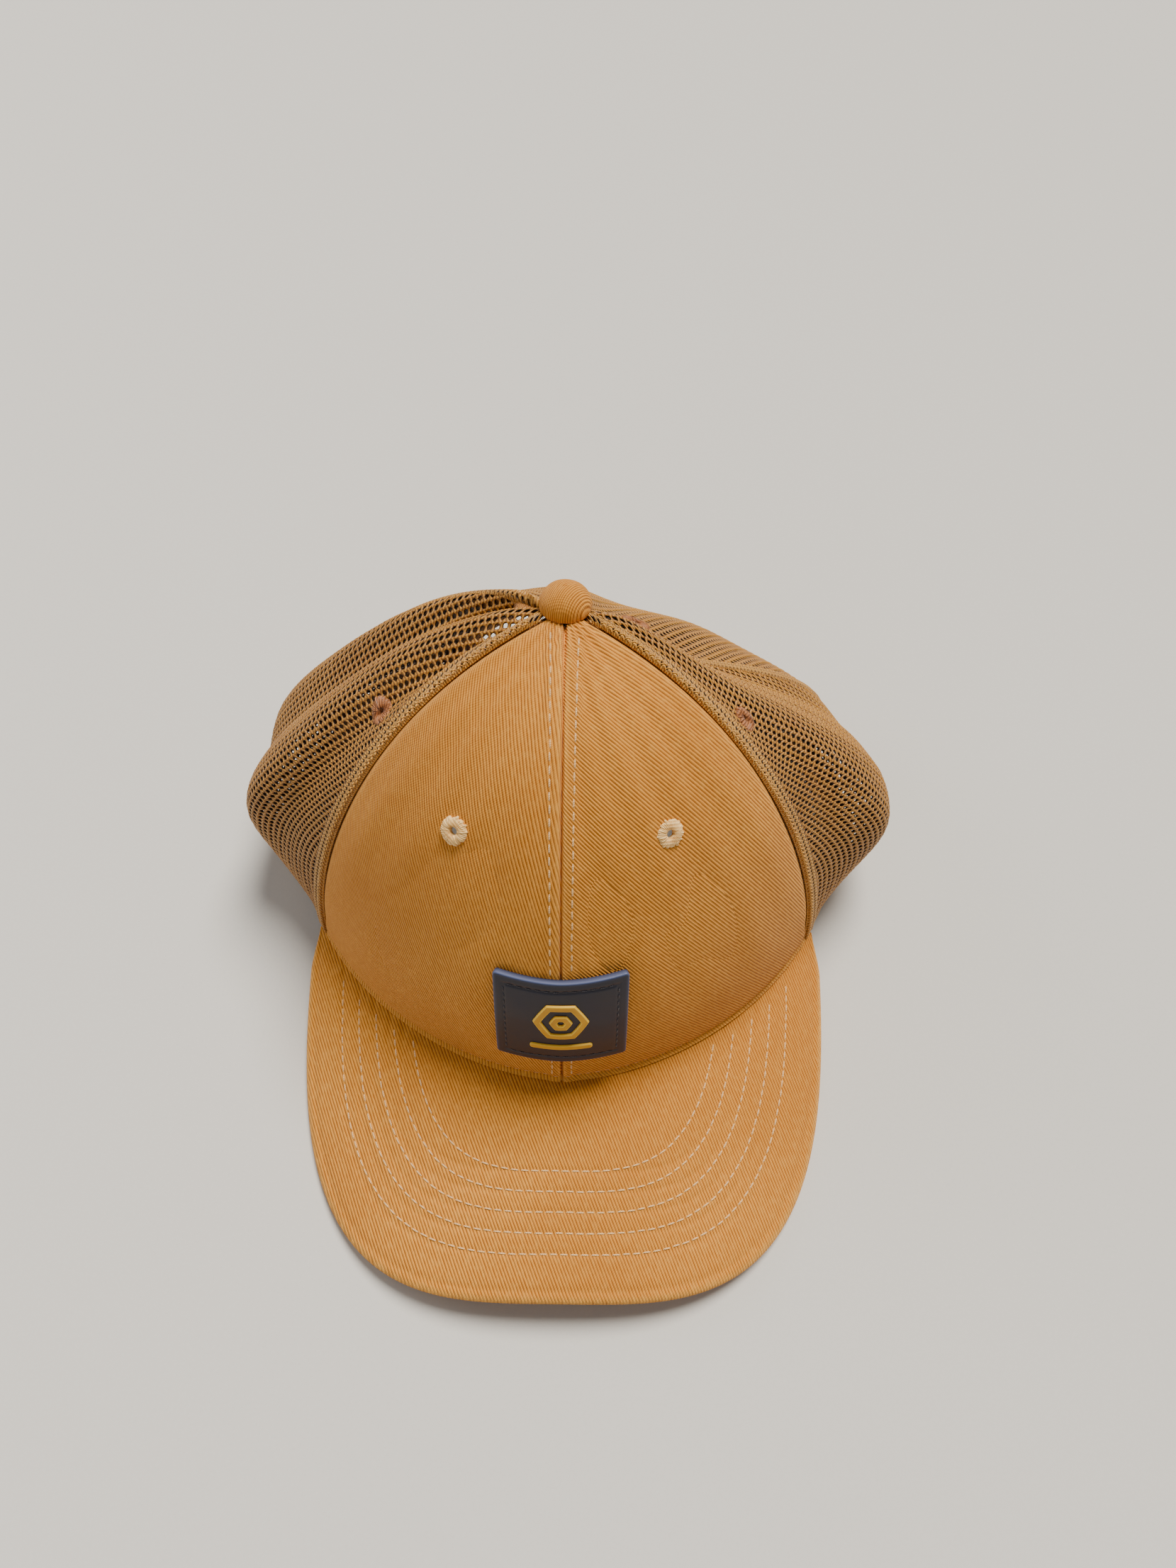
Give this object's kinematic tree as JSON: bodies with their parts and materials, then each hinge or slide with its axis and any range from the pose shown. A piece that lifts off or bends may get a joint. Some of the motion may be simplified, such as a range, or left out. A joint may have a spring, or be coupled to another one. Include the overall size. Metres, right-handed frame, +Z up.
{
  "type": "baseball cap",
  "caption": "Baseball cap with stiff canvas front panels, knitted mesh sides and back, curved stitched visor, rubber front patch, top button and rear snap strap.",
  "frame": {"origin": "centre of the bounding box, at the surface that the cap stands on", "axes": "+Z up out of the top button, -Y forward along the visor, +X to the right seen from the front"},
  "size_m": [0.2216, 0.2467, 0.141],
  "materials": {
    "canvas": "cotton twill, matt with a fine diagonal rib",
    "mesh": "knitted polyester mesh with a soft sheen",
    "buckram": "stiffened open-weave cloth",
    "tape": "folded cotton seam tape",
    "sweatband": "brushed cotton sweatband",
    "label": "plain woven satin label, blank",
    "pale_thread": "pale polyester thread",
    "brown_thread": "brown polyester thread",
    "button_metal": "pressed aluminium, unpolished",
    "board": "polyethylene sheet",
    "patch_rubber": "soft moulded rubber, satin",
    "emblem_rubber": "soft moulded rubber, raised",
    "strap_plastic": "moulded polyethylene, semi-gloss"
  },
  "bodies": {
    "root": {"front_panel_right": "canvas", "front_panel_left": "canvas", "side_panel_right": "mesh", "side_panel_left": "mesh", "back_panel_right": "mesh", "back_panel_left": "mesh", "buckram_right": "buckram", "buckram_left": "buckram", "tape_centre_front": "tape", "tape_front_side_right": "tape", "tape_front_side_left": "tape", "tape_side_back_right": "tape", "tape_side_back_left": "tape", "tape_centre_back": "tape", "seam_ridge_right": "mesh", "seam_ridge_left": "mesh", "hem_tape": "tape", "sweatband": "sweatband", "size_label": "label", "arch_binding": "tape", "front_eyelets": "pale_thread", "side_eyelets": "brown_thread", "back_eyelets": "brown_thread", "button_cover": "canvas", "button_shell": "button_metal", "button_washer": "button_metal", "visor_top_cover": "canvas", "visor_board": "board", "visor_under_cover": "canvas", "visor_stitching": "pale_thread", "crown_topstitching": "pale_thread", "patch_base": "patch_rubber", "patch_emblem": "emblem_rubber", "patch_stitching": "patch_rubber", "strap_root_right": "strap_plastic", "strap_root_left": "strap_plastic"},
    "strap_outer": {"strap_with_holes": "strap_plastic"},
    "strap_inner": {"strap_with_pegs": "strap_plastic"}
  },
  "joints": [
    {"name": "outer_strap_swing", "type": "hinge", "parent": "root", "child": "strap_outer", "pos_m": [0.0315, 0.12208, 0.00019], "axis": [0, -0.225, 0.9744], "range_deg": [-75, 0]},
    {"name": "inner_strap_swing", "type": "hinge", "parent": "root", "child": "strap_inner", "pos_m": [-0.0315, 0.12042, -0.00019], "axis": [0, -0.225, 0.9744], "range_deg": [-25, 0]}
  ]
}
